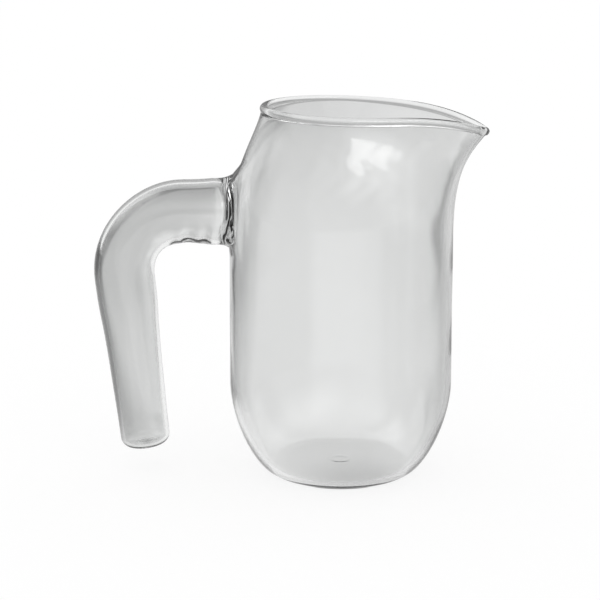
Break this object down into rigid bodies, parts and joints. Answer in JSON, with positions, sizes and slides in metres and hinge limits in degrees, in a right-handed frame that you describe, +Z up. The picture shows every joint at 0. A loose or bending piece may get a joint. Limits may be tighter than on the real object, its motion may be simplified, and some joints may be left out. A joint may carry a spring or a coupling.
{
  "type": "glass pitcher",
  "caption": "Clear glass pitcher with a rounded foot, a narrowed neck, a beaded rim drawn out into a pointed spout, and a hollow tube handle welded on at its top and free below.",
  "frame": {"origin": "middle of the flat foot, on the axis of the vessel, on the table", "axes": "+Z up along the vessel's axis, +X from the handle towards the spout, +Y away from the viewer of the picture"},
  "size_m": [0.1848, 0.1054, 0.1756],
  "materials": {
    "vessel_glass": "clear",
    "handle_glass": "clear",
    "weld_glass": "clear"
  },
  "bodies": {
    "root": {"vessel": "vessel_glass", "handle_tube": "handle_glass", "weld_ring": "weld_glass"}
  },
  "joints": []
}
